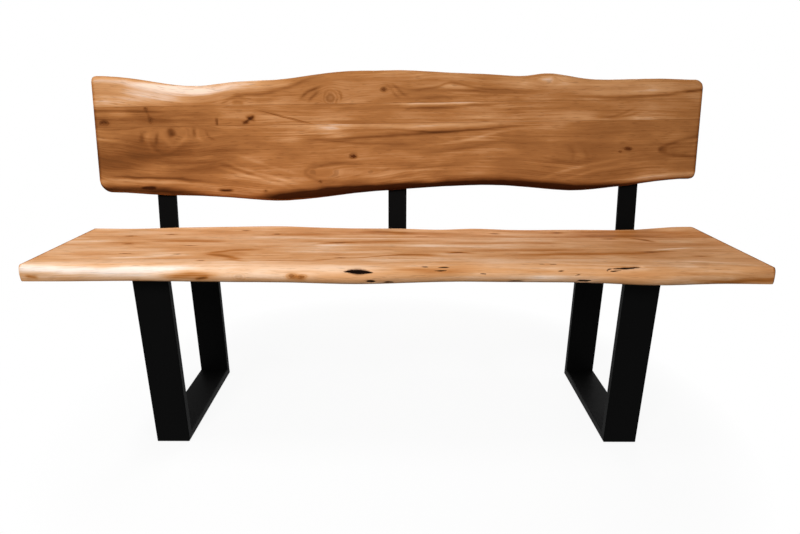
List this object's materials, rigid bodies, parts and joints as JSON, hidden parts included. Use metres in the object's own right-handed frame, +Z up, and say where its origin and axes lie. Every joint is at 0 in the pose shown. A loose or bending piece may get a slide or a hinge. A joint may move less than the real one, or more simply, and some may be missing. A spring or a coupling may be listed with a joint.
{
  "type": "live edge bench",
  "caption": "Live edge wooden bench: a seat and a leaning backrest of glued boards, flat steel back supports and U-shaped flat tube legs, for sitting indoors.",
  "frame": {"origin": "on the floor, under the middle of the bench's box", "axes": "+X along the bench, +Y from the front to the back, +Z up"},
  "size_m": [1.61, 0.5078, 0.8669],
  "materials": {
    "seat_wood": "satin oiled, light honey brown",
    "back_wood": "satin oiled, mid brown",
    "black_steel": "satin black powder coat",
    "screws": "black zinc",
    "glides": "matte black"
  },
  "bodies": {
    "root": {"seat_front_board": "seat_wood", "seat_front_middle_board": "seat_wood", "seat_rear_middle_board": "seat_wood", "seat_rear_board": "seat_wood", "back_lower_board": "back_wood", "back_middle_board": "back_wood", "back_upper_board": "back_wood", "left_front_post": "black_steel", "left_rear_post": "black_steel", "left_floor_bar": "black_steel", "left_top_plate": "black_steel", "right_front_post": "black_steel", "right_rear_post": "black_steel", "right_floor_bar": "black_steel", "right_top_plate": "black_steel", "left_support": "black_steel", "centre_support": "black_steel", "right_support": "black_steel", "left_leg_screws": "screws", "right_leg_screws": "screws", "support_foot_screws": "screws", "back_screws": "screws", "left_glides": "glides", "right_glides": "glides"}
  },
  "joints": []
}
